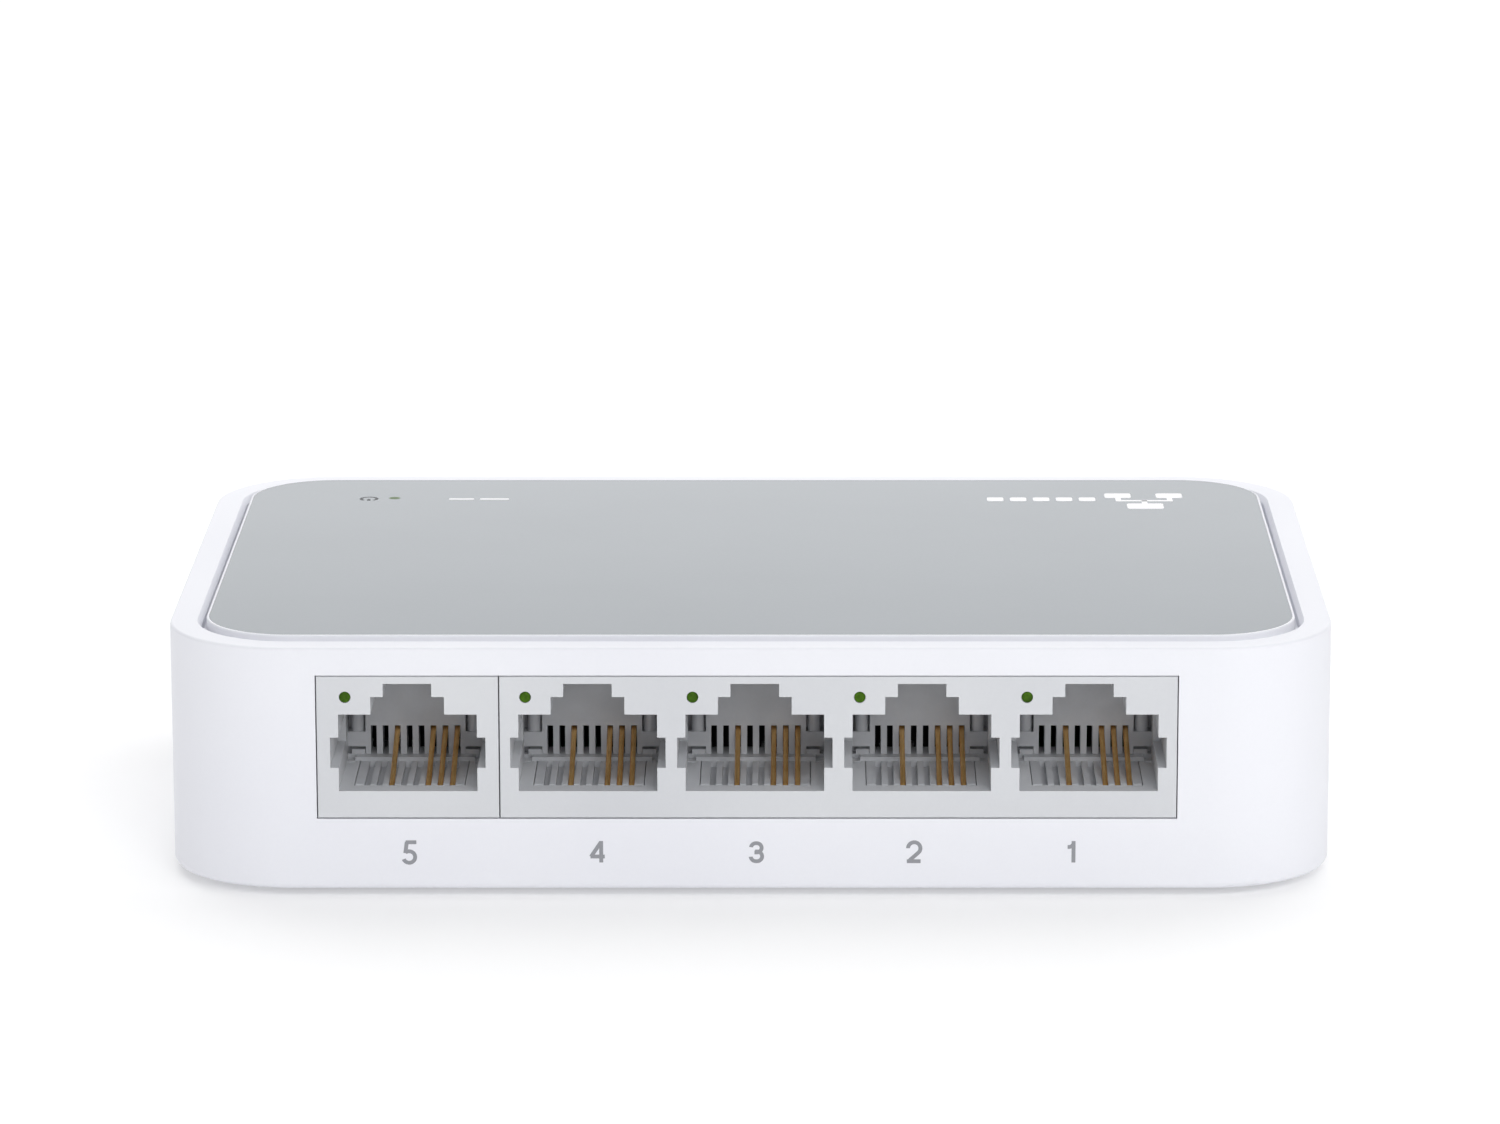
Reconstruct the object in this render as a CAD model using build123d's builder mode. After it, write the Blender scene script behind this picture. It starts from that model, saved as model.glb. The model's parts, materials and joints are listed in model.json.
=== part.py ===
from build123d import *
import math
import os

# Five-port desktop network switch: a white tub and lid, a board, five sockets and a supply inlet.
# Millimetres, +Z up. The port face looks along -Y and the supply inlet along -X.
# The origin is the centre of the footprint, on the surface that the feet stand on.

os.makedirs("parts", exist_ok=True)

# ---------------------------------------------------------------- driving dimensions
WIDTH = 98.5
DEPTH = 66.8
HEIGHT = 22.0
CORNER_R = 10.5
FOOT_PROUD = 0.8
WALL = 2.0
FLOOR = 2.0

# rim of the tub, measured inwards from the outer wall face
RIM_FLAT = 2.3
RIM_SLOPE = 0.35
RIM_SLOPE_DEEP = 0.5
RIM_DROP = 0.33
RIM_ROUND = 0.25
RIM_IN = RIM_FLAT + RIM_SLOPE
LEDGE_IN = 3.9
COVER_IN = 3.1
OVERLAY_T = 0.14
OVERLAY_INSET = 0.2
RIM_TOP = HEIGHT - RIM_DROP
OVERLAY_IN = COVER_IN + OVERLAY_INSET
OVERLAY_BED = HEIGHT - 0.01 - OVERLAY_T
LEDGE_TOP = HEIGHT - 1.6
LEDGE_BOTTOM = LEDGE_TOP - 1.1

BOTTOM = FOOT_PROUD
INNER_FLOOR = BOTTOM + FLOOR

# board
BOARD_T = 1.6
BOARD_TOP = 7.0
BOARD_BOTTOM = BOARD_TOP - BOARD_T
BOARD_X = WIDTH - 5.5
BOARD_FRONT = -DEPTH / 2 + WALL + 0.4
BOARD_BACK = DEPTH / 2 - 4.5
BOARD_R = 8.0

# eight-position sockets
PORT_PITCH = 13.97
SINGLE_W = 15.2
QUAD_W = 3 * PORT_PITCH + 14.74
JACK_GAP = 0.09
JACK_H = 12.2
JACK_L = 15.4
JACK_TOP = BOARD_TOP + JACK_H
ROW_CENTRE = -0.245
ROW_W = SINGLE_W + JACK_GAP + QUAD_W
SINGLE_X = ROW_CENTRE - ROW_W / 2 + SINGLE_W / 2
QUAD_X = ROW_CENTRE + ROW_W / 2 - QUAD_W / 2

PLUG_W = 11.6
PLUG_FLOOR = 9.32
PLUG_TOP = 15.94
LATCH_W = 6.16
LATCH_TOP = 17.45
TIP_W = 4.06
TIP_TOP = 18.58
NOTCH_W = 13.0
NOTCH_LOW = 11.33
NOTCH_HIGH = 13.95
NOTCH_L = 9.0
LIGHT_X = -5.2
LIGHT_Z = 17.43
LIGHT_D = 0.9

# contact carrier, depths measured in from the port face
BED_FRONT = 2.0
BED_W = 9.2
BED_BOTTOM = 7.6
COMB_FRONT = 11.0
COMB_BACK = 13.4
LEDGE_D = 9.9
LEDGE_Z = 9.65
LEDGE_HALF = 5.1
SLOT_W = 0.5
SLOT_PITCH = 1.02
SLOT_TOP = 12.15
SLOT_STEP = 0.35
GROOVE_DEEP = 0.5
WIRE_R = 0.23
NOSE_R = 0.35
BEND_R = NOSE_R + 0.05 + WIRE_R
BEND_D = BED_FRONT + GROOVE_DEEP + NOSE_R
BEND_Z = PLUG_FLOOR - GROOVE_DEEP - NOSE_R
REST_ANGLE = 17.5
WIRE_END_D = 11.9
FILLED_SLOTS = (2, 5, 6, 7)

# supply inlet, depths measured in from the outer face of the -X wall
INLET_Y = 14.0
INLET_Z = BOARD_TOP + 6.5
INLET_W = 9.0
INLET_H = 11.0
INLET_L = 14.0
BARREL_R = 3.0
BARREL_L = 10.0
PIN_R = 1.0

# feet, screws and locating pins
FOOT_X = 38.5
FOOT_Y = 23.0
FOOT_D = 8.6
FOOT_T = 1.1
SCREW_SPOTS = [(-41.2, -24.5), (41.5, 22.5)]
PIN_SPOTS = [(41.2, -24.5), (-41.5, 24.0)]

# lid hooks: x of those on the back wall, and the side and y of those on the end walls
BACK_HOOKS = (-26.0, 0.0, 26.0)
END_HOOKS = [(-1, -19.5), (-1, 1.0), (1, -19.5), (1, 19.5)]
HOOK_W = 6.0

POWER_LIGHT = (-33.0, 22.5)

PORT_X = {5: SINGLE_X}
for step, number in enumerate((4, 3, 2, 1)):
    PORT_X[number] = QUAD_X + (step - 1.5) * PORT_PITCH


# ---------------------------------------------------------------- helpers
def behind_face(depth):
    """Sketch plane parallel to the port face, depth in from it: local x is X and local y is Z."""
    return Plane.XZ.offset(DEPTH / 2 - depth)


def behind_inlet(depth):
    """Sketch plane parallel to the -X wall, depth in from it: local x is -Y and local y is Z."""
    return Plane(origin=(-WIDTH / 2 + depth, 0, 0), x_dir=(0, -1, 0), z_dir=(-1, 0, 0))


def face_y(depth):
    """Row Y of a depth in from the port face."""
    return -DEPTH / 2 + depth


def span(low, high):
    """Centre and size of a stretch."""
    return (low + high) / 2, high - low


def save(piece, name):
    """Labels a finished piece and writes it as its own node."""
    piece.label = name
    export_step(piece, f"parts/{name}.step")


def box_between(x, y, z, mode=Mode.ADD):
    """A box given by its low and high value on each axis."""
    centres = [(low + high) / 2 for low, high in (x, y, z)]
    sizes = [high - low for low, high in (x, y, z)]
    with Locations(tuple(centres)):
        Box(*sizes, mode=mode)


# ---------------------------------------------------------------- lower housing
def hook_frames():
    """One plane per lid hook: origin on the outer wall at z 0, local y outwards, local x along the wall."""
    back = [Plane(origin=(x, DEPTH / 2, 0), x_dir=(1, 0, 0), z_dir=(0, 0, 1)) for x in BACK_HOOKS]
    ends = [
        Plane(origin=(side * WIDTH / 2, y, 0), x_dir=(0, -side, 0), z_dir=(0, 0, 1)) for side, y in END_HOOKS
    ]
    return back + ends


BOSS_R = 2.6
BOSS_HOLE_R = 1.05
BOSS_HOLE_L = 3.4
LOCATOR_R = 1.2
LOCATOR_PROUD = 1.0
RIB_X = (-30, -10, 10, 30)
RIB_T = 1.4
RIB_DEPTHS = (3.0, 11.0)
LUG_IN = 3.7
LUG_LOW = 16.3
LUG_HIGH = 17.6
VENT_PITCH = 6.0
VENT_L = 16.0
VENT_W = 1.8
VENT_Y = 15.0
LABEL_W = 50.0
LABEL_H = 22.0
LABEL_Y = -8.0
LABEL_DEEP = 0.2

with BuildPart() as lower_housing:
    with BuildSketch(Plane.XY.offset(BOTTOM)):
        RectangleRounded(WIDTH, DEPTH, CORNER_R)
    extrude(amount=RIM_TOP - BOTTOM)
    fillet(lower_housing.faces().sort_by(Axis.Z)[-1].edges(), RIM_ROUND)
    fillet(lower_housing.faces().sort_by(Axis.Z)[0].edges(), 0.5)
    with BuildSketch(Plane.XY.offset(INNER_FLOOR)):
        RectangleRounded(WIDTH - 2 * WALL, DEPTH - 2 * WALL, CORNER_R - WALL)
    extrude(amount=LEDGE_BOTTOM - INNER_FLOOR, mode=Mode.SUBTRACT)
    with BuildSketch(Plane.XY.offset(LEDGE_BOTTOM)):
        RectangleRounded(WIDTH - 2 * LEDGE_IN, DEPTH - 2 * LEDGE_IN, CORNER_R - LEDGE_IN)
    extrude(amount=LEDGE_TOP - LEDGE_BOTTOM, mode=Mode.SUBTRACT)
    with BuildSketch(Plane.XY.offset(LEDGE_TOP)):
        RectangleRounded(WIDTH - 2 * RIM_IN, DEPTH - 2 * RIM_IN, CORNER_R - RIM_IN)
    extrude(amount=RIM_TOP - LEDGE_TOP, mode=Mode.SUBTRACT)
    rim_inner = lower_housing.faces().sort_by(Axis.Z)[-1].inner_wires()[0].edges()
    rim_face = lower_housing.faces().sort_by(Axis.Z)[-1]
    chamfer(rim_inner, length=RIM_SLOPE, length2=RIM_SLOPE_DEEP, reference=rim_face)

    # window for the sockets and the one for the inlet, cut a little past the wall
    with BuildSketch(behind_face(0)):
        with Locations((ROW_CENTRE, (BOARD_TOP + JACK_TOP) / 2)):
            Rectangle(ROW_W + 2 * JACK_GAP, JACK_H + 2 * JACK_GAP)
    extrude(amount=-(WALL + WALL / 4), mode=Mode.SUBTRACT)
    with BuildSketch(behind_inlet(0)):
        with Locations((-INLET_Y, BOARD_TOP + INLET_H / 2)):
            Rectangle(INLET_W + 2 * JACK_GAP, INLET_H + 2 * JACK_GAP)
    extrude(amount=-(WALL + WALL / 4), mode=Mode.SUBTRACT)

    # catches for the lid hooks
    for frame in hook_frames():
        with BuildSketch(frame.offset(LUG_LOW)):
            with Locations((0, -(WALL - 0.1 + LUG_IN) / 2)):
                Rectangle(HOOK_W + 1.0, LUG_IN - WALL + 0.1)
        extrude(amount=LUG_HIGH - LUG_LOW)

    # board supports: two with screw holes, two with locating pins
    with BuildSketch(Plane.XY.offset(INNER_FLOOR)):
        with Locations(*SCREW_SPOTS, *PIN_SPOTS):
            Circle(BOSS_R)
    extrude(amount=BOARD_BOTTOM - INNER_FLOOR)
    with BuildSketch(Plane.XY.offset(BOARD_BOTTOM)):
        with Locations(*PIN_SPOTS):
            Circle(LOCATOR_R)
    extrude(amount=BOARD_T + LOCATOR_PROUD)
    with BuildSketch(Plane.XY.offset(BOARD_BOTTOM)):
        with Locations(*SCREW_SPOTS):
            Circle(BOSS_HOLE_R)
    extrude(amount=-BOSS_HOLE_L, mode=Mode.SUBTRACT)
    # ribs under the front of the board, which take the push of a plug
    rib_y = tuple(face_y(depth) for depth in RIB_DEPTHS)
    for rib_x in RIB_X:
        box_between((rib_x - RIB_T / 2, rib_x + RIB_T / 2), rib_y, (INNER_FLOOR - 0.1, BOARD_BOTTOM))

    # underside: foot recesses, vents and the label recess
    with BuildSketch(Plane.XY.offset(BOTTOM)):
        with GridLocations(2 * FOOT_X, 2 * FOOT_Y, 2, 2):
            Circle(FOOT_D / 2 + 0.1)
    extrude(amount=FOOT_T - FOOT_PROUD, mode=Mode.SUBTRACT)
    with BuildSketch(Plane.XY.offset(BOTTOM)):
        with Locations((0, VENT_Y)):
            with GridLocations(VENT_PITCH, 0, 9, 1):
                SlotOverall(VENT_L, VENT_W, rotation=90)
    extrude(amount=FLOOR, mode=Mode.SUBTRACT)
    with BuildSketch(Plane.XY.offset(BOTTOM)):
        with Locations((0, LABEL_Y)):
            RectangleRounded(LABEL_W + 0.4, LABEL_H + 0.4, 1.2)
    extrude(amount=LABEL_DEEP, mode=Mode.SUBTRACT)
lower_housing.part.label = "lower_housing"
export_step(lower_housing.part, "parts/lower_housing.step")

# ---------------------------------------------------------------- lid and what is on it
HOOK_OUT = 4.05
HOOK_T = 1.4
HOOK_LOW = 14.6
BARB_OUT = 3.2
STIFFENER_Y = (-12, 0, 12)
STIFFENER_HALF = 30
STIFFENER_T = 1.2
STIFFENER_H = 0.9
LID_EDGE_R = 0.12

with BuildPart() as top_cover:
    with BuildSketch(Plane.XY.offset(LEDGE_TOP)):
        RectangleRounded(WIDTH - 2 * COVER_IN, DEPTH - 2 * COVER_IN, CORNER_R - COVER_IN)
    extrude(amount=HEIGHT - LEDGE_TOP)
    fillet(top_cover.faces().sort_by(Axis.Z)[-1].edges(), LID_EDGE_R)
    with BuildSketch(Plane.XY.offset(OVERLAY_BED)):
        RectangleRounded(WIDTH - 2 * OVERLAY_IN, DEPTH - 2 * OVERLAY_IN, CORNER_R - OVERLAY_IN)
    extrude(amount=HEIGHT - OVERLAY_BED, mode=Mode.SUBTRACT)
    for frame in hook_frames():
        with BuildSketch(frame.offset(HOOK_LOW)):
            with Locations((0, -HOOK_OUT - HOOK_T / 2)):
                Rectangle(HOOK_W, HOOK_T)
        extrude(amount=LEDGE_TOP - HOOK_LOW)
        hook_side = frame.origin - frame.x_dir * HOOK_W / 2
        side_plane = Plane(origin=hook_side, x_dir=frame.y_dir, z_dir=frame.x_dir)
        with BuildSketch(side_plane):
            with BuildLine():
                Polyline(
                    (-HOOK_OUT - 0.1, HOOK_LOW),
                    (-HOOK_OUT, HOOK_LOW),
                    (-BARB_OUT, LUG_LOW - 0.7),
                    (-BARB_OUT, LUG_LOW - 0.1),
                    (-HOOK_OUT - 0.1, LUG_LOW - 0.1),
                    close=True,
                )
            make_face()
        extrude(amount=HOOK_W)
    # stiffening ribs under the plate, clear of the sockets
    for stiffener_y in STIFFENER_Y:
        box_between((-STIFFENER_HALF, STIFFENER_HALF),
                    (stiffener_y - STIFFENER_T / 2, stiffener_y + STIFFENER_T / 2),
                    (LEDGE_TOP - STIFFENER_H, LEDGE_TOP + 0.1))
    with BuildSketch(Plane.XY.offset(HEIGHT)):
        with Locations(POWER_LIGHT):
            Circle(LIGHT_D / 2 + 0.05)
    extrude(amount=LEDGE_TOP - HEIGHT, mode=Mode.SUBTRACT)
top_cover.part.label = "top_cover"
export_step(top_cover.part, "parts/top_cover.step")

with BuildPart() as top_overlay:
    with BuildSketch(Plane.XY.offset(OVERLAY_BED)):
        edge = OVERLAY_IN + 0.01
        RectangleRounded(WIDTH - 2 * edge, DEPTH - 2 * edge, CORNER_R - edge)
        with Locations(POWER_LIGHT):
            Circle(LIGHT_D / 2 + 0.03, mode=Mode.SUBTRACT)
    extrude(amount=OVERLAY_T)
top_overlay.part.label = "top_overlay"
export_step(top_overlay.part, "parts/top_overlay.step")

POWER_LED_TOP = BOARD_TOP + 0.8
with BuildPart() as power_light_pipe:
    with BuildSketch(Plane.XY.offset(POWER_LED_TOP + 0.3)):
        with Locations(POWER_LIGHT):
            Circle(LIGHT_D / 2)
    extrude(amount=HEIGHT - 0.03 - POWER_LED_TOP - 0.3)
    with BuildSketch(Plane.XY.offset(LEDGE_TOP - 1.2)):
        with Locations(POWER_LIGHT):
            Circle(1.6)
    extrude(amount=1.2)
power_light_pipe.part.label = "power_light_pipe"
export_step(power_light_pipe.part, "parts/power_light_pipe.step")

# ---------------------------------------------------------------- feet and label
FOOT_NAMES = {
    "foot_front_left": (-FOOT_X, -FOOT_Y),
    "foot_front_right": (FOOT_X, -FOOT_Y),
    "foot_back_left": (-FOOT_X, FOOT_Y),
    "foot_back_right": (FOOT_X, FOOT_Y),
}
for foot_name, foot_place in FOOT_NAMES.items():
    with BuildPart() as foot:
        with BuildSketch():
            with Locations(foot_place):
                Circle(FOOT_D / 2)
        extrude(amount=FOOT_T)
        chamfer(foot.faces().sort_by(Axis.Z)[0].edges(), 0.3)
    save(foot.part, foot_name)

with BuildPart() as rating_label:
    with BuildSketch(Plane.XY.offset(BOTTOM + LABEL_DEEP)):
        with Locations((0, LABEL_Y)):
            RectangleRounded(LABEL_W, LABEL_H, 1.0)
    extrude(amount=-0.12)
rating_label.part.label = "rating_label"
export_step(rating_label.part, "parts/rating_label.step")


# ---------------------------------------------------------------- sockets
CARRIER_HALF = 6.2
CARRIER_LOW = BOARD_TOP + 0.1
CARRIER_TOP = 16.1
CARRIER_NECK = 3.35
CARRIER_NECK_TOP = 18.75
REAR_FIT = 0.06
PEG_R = 1.55
PEG_DEPTH = 8.0
PEG_L = 2.3


def peg_places(ports):
    """Where a socket's two board pegs stand: one outside each end port's middle."""
    return [(PORT_X[ports[0]] - 5.7, face_y(PEG_DEPTH)), (PORT_X[ports[-1]] + 5.7, face_y(PEG_DEPTH))]


def socket_housing(ports, centre, width):
    """Moulded housing round one port or a row of them."""
    with BuildPart() as housing:
        with BuildSketch(behind_face(0)):
            with Locations((centre, (BOARD_TOP + JACK_TOP) / 2)):
                Rectangle(width, JACK_H)
        extrude(amount=-JACK_L)
        fillet(housing.faces().sort_by(Axis.Y)[0].edges(), 0.1)
        for port in ports:
            x = PORT_X[port]
            with BuildSketch(behind_face(0)):
                for step_w, step_top in ((PLUG_W, PLUG_TOP), (LATCH_W, LATCH_TOP), (TIP_W, TIP_TOP)):
                    middle, tall = span(PLUG_FLOOR, step_top)
                    with Locations((x, middle)):
                        Rectangle(step_w, tall)
            extrude(amount=-COMB_FRONT, mode=Mode.SUBTRACT)
            # side notches
            with BuildSketch(behind_face(0)):
                middle, tall = span(NOTCH_LOW, NOTCH_HIGH)
                with Locations((x, middle)):
                    Rectangle(NOTCH_W, tall)
            extrude(amount=-NOTCH_L, mode=Mode.SUBTRACT)
            # seat of the contact carrier: bed under the plug, comb behind it
            bed = BED_W / 2 + 0.07
            box_between((x - bed, x + bed), (face_y(BED_FRONT - 0.1), face_y(COMB_FRONT)),
                        (BED_BOTTOM - 0.1, PLUG_FLOOR + 0.1), Mode.SUBTRACT)
            half = CARRIER_HALF + REAR_FIT
            box_between((x - half, x + half), (face_y(COMB_FRONT), face_y(JACK_L + 1)),
                        (BOARD_TOP - 0.1, CARRIER_TOP + REAR_FIT), Mode.SUBTRACT)
            neck = CARRIER_NECK + REAR_FIT
            box_between((x - neck, x + neck), (face_y(COMB_FRONT), face_y(JACK_L + 1)),
                        (CARRIER_TOP, CARRIER_NECK_TOP + REAR_FIT), Mode.SUBTRACT)
            # slits in the floor beside the bed
            for side in (-1, 1):
                slit = sorted((x + side * PLUG_W / 2, x + side * LEDGE_HALF))
                box_between(slit, (face_y(LEDGE_D - 0.55), face_y(LEDGE_D - 0.05)),
                            (PLUG_FLOOR - 0.6, PLUG_FLOOR + 0.1), Mode.SUBTRACT)
            # bore for the light pipe
            with BuildSketch(behind_face(0)):
                with Locations((x + LIGHT_X, LIGHT_Z)):
                    Circle(LIGHT_D / 2 + 0.04)
            extrude(amount=-JACK_L, mode=Mode.SUBTRACT)
        with BuildSketch(Plane.XY.offset(BOARD_TOP)):
            with Locations(*peg_places(ports)):
                Circle(PEG_R)
        extrude(amount=-PEG_L)
    return housing.part


SINGLE_PORTS = (5,)
QUAD_PORTS = (4, 3, 2, 1)
save(socket_housing(SINGLE_PORTS, SINGLE_X, SINGLE_W), "socket_housing_single")
save(socket_housing(QUAD_PORTS, QUAD_X, QUAD_W), "socket_housing_quad")


# ---------------------------------------------------------------- contact carrier
def slot_x(index):
    """Local x of one of the eight contact slots."""
    return (index - 3.5) * SLOT_PITCH


POCKET_IN = 4.26
POCKET_LOW = 11.6
POCKET_HIGH = 15.6
POCKET_DEEP = 1.5
LOW_POCKET_HIGH = 10.3
LOW_POCKET_DEEP = 1.0
BLOCK = (4.3, 5.45)
BLOCK_HIGH = 10.08
STUD_X = 4.95
STUD_R = 0.55
STUD_DEPTH = COMB_FRONT + 0.62
BED_ROUND = 0.45
with BuildPart() as carrier:
    # bed under the wires
    box_between((-BED_W / 2, BED_W / 2), (face_y(BED_FRONT), face_y(COMB_FRONT)), (BED_BOTTOM, PLUG_FLOOR))
    fillet(carrier.faces().sort_by(Axis.Y)[0].edges().sort_by(Axis.Z)[-1], BED_ROUND)
    # comb wall behind the plug, its neck behind the latch, and the ledge at its foot
    box_between((-CARRIER_HALF, CARRIER_HALF), (face_y(COMB_FRONT), face_y(COMB_BACK)),
                (CARRIER_LOW, CARRIER_TOP))
    box_between((-CARRIER_NECK, CARRIER_NECK), (face_y(COMB_FRONT), face_y(COMB_BACK)),
                (CARRIER_TOP - 0.1, CARRIER_NECK_TOP))
    box_between((-LEDGE_HALF, LEDGE_HALF), (face_y(LEDGE_D), face_y(COMB_FRONT)), (PLUG_FLOOR, LEDGE_Z))
    # pockets in the comb wall: a tall one with a stud and a low one with a block, each side
    for side in (-1, 1):
        wide = sorted((side * PLUG_W / 2, side * POCKET_IN))
        box_between(wide, (face_y(COMB_FRONT), face_y(COMB_FRONT + POCKET_DEEP)),
                    (POCKET_LOW, POCKET_HIGH), Mode.SUBTRACT)
        box_between(wide, (face_y(COMB_FRONT), face_y(COMB_FRONT + LOW_POCKET_DEEP)),
                    (LEDGE_Z, LOW_POCKET_HIGH), Mode.SUBTRACT)
        box_between(sorted((side * BLOCK[0], side * BLOCK[1])),
                    (face_y(COMB_FRONT - 0.15), face_y(COMB_FRONT + LOW_POCKET_DEEP + 0.1)),
                    (LEDGE_Z - 0.1, BLOCK_HIGH))
        with BuildSketch(Plane.XY.offset(POCKET_LOW - 0.1)):
            with Locations((side * STUD_X, face_y(STUD_DEPTH))):
                Circle(STUD_R)
        extrude(amount=POCKET_HIGH - POCKET_LOW + 0.2)
    for index in range(8):
        with BuildSketch(Plane.YZ.offset(slot_x(index) - SLOT_W / 2)):
            # groove over the bed and tunnel under it, round the thin nose that the wire wraps
            with BuildLine():
                Polyline(
                    (face_y(BED_FRONT - 0.2), BED_BOTTOM - 0.1),
                    (face_y(COMB_FRONT - 0.1), BED_BOTTOM - 0.1),
                    (face_y(COMB_FRONT - 0.1), CARRIER_LOW - 0.1),
                    (face_y(COMB_BACK + 0.1), CARRIER_LOW - 0.1),
                    (face_y(COMB_BACK + 0.1), BEND_Z),
                    (face_y(LEDGE_D - 0.1), BEND_Z),
                    (face_y(LEDGE_D - 0.1), PLUG_FLOOR + 0.1),
                    (face_y(BED_FRONT - 0.2), PLUG_FLOOR + 0.1),
                    close=True,
                )
            make_face()
            core_y, core_l = span(face_y(BEND_D - NOSE_R), face_y(COMB_BACK + 1.0))
            with Locations((core_y, BEND_Z)):
                RectangleRounded(core_l, 2 * NOSE_R, NOSE_R - 0.001, mode=Mode.SUBTRACT)
            # slot in the comb wall, which the wire's end moves in
            with BuildLine():
                Polyline(
                    (face_y(COMB_FRONT - 0.2), LEDGE_Z),
                    (face_y(COMB_BACK + 0.1), LEDGE_Z),
                    (face_y(COMB_BACK + 0.1), SLOT_TOP + 0.5),
                    (face_y(COMB_FRONT + SLOT_STEP), SLOT_TOP + 0.5),
                    (face_y(COMB_FRONT + SLOT_STEP), SLOT_TOP),
                    (face_y(COMB_FRONT - 0.2), SLOT_TOP),
                    close=True,
                )
            make_face()
        extrude(amount=SLOT_W, mode=Mode.SUBTRACT)

for number, port_x in PORT_X.items():
    save(carrier.part.moved(Location((port_x, 0, 0))), f"contact_carrier_{number}")


# ---------------------------------------------------------------- contact wires
BEND_Y = face_y(BEND_D)
TAIL_Z = BEND_Z - BEND_R
TAIL_END = BOARD_BOTTOM - 0.9
TAIL_GAP = 3.0
TAIL_ROWS = (14.5, 12.3)
TAIL_BEND_R = 0.5


def bend_point(angle):
    """Point of the wire's bend at an angle from +Y towards +Z, as (y, z)."""
    turn = math.radians(angle)
    return BEND_Y + BEND_R * math.cos(turn), BEND_Z + BEND_R * math.sin(turn)


def tail_depth(index):
    """Depth at which a slot's tail goes down through the board: the two rows are staggered."""
    return TAIL_ROWS[index % 2]


with BuildPart() as contact_springs:
    for index in FILLED_SLOTS:
        top = bend_point(90 + REST_ANGLE)
        run = face_y(WIRE_END_D) - top[0]
        tip = (face_y(WIRE_END_D), top[1] + run * math.tan(math.radians(REST_ANGLE)))
        with BuildLine(Plane.YZ.offset(slot_x(index))) as path:
            CenterArc((BEND_Y, BEND_Z), BEND_R, 180, REST_ANGLE - 90)
            Line(top, tip)
        with BuildSketch(Plane(origin=path.line @ 0, z_dir=path.line % 0)):
            Circle(WIRE_R)
        sweep(path=path.line)
    tips = contact_springs.edges().filter_by(GeomType.CIRCLE).group_by(Axis.Y)[-1]
    fillet(tips, WIRE_R - 0.04)

with BuildPart() as contact_tails:
    for index in FILLED_SLOTS:
        low = bend_point(270)
        corner = face_y(tail_depth(index))
        with BuildLine(Plane.YZ.offset(slot_x(index))) as path:
            CenterArc((BEND_Y, BEND_Z), BEND_R, 180 + TAIL_GAP, 90 - TAIL_GAP)
            FilletPolyline(low, (corner, TAIL_Z), (corner, TAIL_END), radius=TAIL_BEND_R)
        with BuildSketch(Plane(origin=path.line @ 0, z_dir=path.line % 0)):
            Circle(WIRE_R)
        sweep(path=path.line)

for number, port_x in PORT_X.items():
    save(contact_springs.part.moved(Location((port_x, 0, 0))), f"contact_springs_{number}")
    save(contact_tails.part.moved(Location((port_x, 0, 0))), f"contact_tails_{number}")

# ---------------------------------------------------------------- indicator light pipes and LEDs
PIPE_LEG = JACK_L + 1.1
LED_TOP = BOARD_TOP + 0.8
with BuildPart() as port_light_pipe:
    with BuildLine(Plane.YZ.offset(LIGHT_X)) as path:
        FilletPolyline(
            (face_y(0.02), LIGHT_Z),
            (face_y(PIPE_LEG), LIGHT_Z),
            (face_y(PIPE_LEG), LED_TOP + 0.25),
            radius=0.8,
        )
    with BuildSketch(Plane(origin=path.line @ 0, z_dir=path.line % 0)):
        Circle(LIGHT_D / 2)
    sweep(path=path.line)
for number, port_x in PORT_X.items():
    save(port_light_pipe.part.moved(Location((port_x, 0, 0))), f"port_light_pipe_{number}")

with BuildPart() as small_led:
    box_between((-0.8, 0.8), (-0.4, 0.4), (BOARD_TOP, BOARD_TOP + 0.35))
    box_between((-0.5, 0.5), (-0.4, 0.4), (BOARD_TOP + 0.3, LED_TOP))
for number, port_x in PORT_X.items():
    place = Location((port_x + LIGHT_X, face_y(PIPE_LEG), 0))
    save(small_led.part.moved(place), f"port_led_{number}")
save(small_led.part.moved(Location((*POWER_LIGHT, 0))), "power_led")

# ---------------------------------------------------------------- supply inlet
FLANGE_L = 3.4
BARREL_OUTER_R = 4.2
CHANNEL_END = 12.6
CHANNEL_HALF = 1.35
CHANNEL_FLOOR = BOARD_TOP + 1.2
TAB_HALF = 1.2
TAB_T = 0.4
TAB_LOW = BOARD_BOTTOM - 0.8
PIN_TIP = 1.15
PIN_ROUND = 0.45
PIN_ROOT = 1.3
LEAF_IN = 2.35
SPRING_HALF = 1.2
SPRING_T = 0.3
SPRING_PIVOT = (-WIDTH / 2 + 11.6, BOARD_TOP + 2.55)

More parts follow.
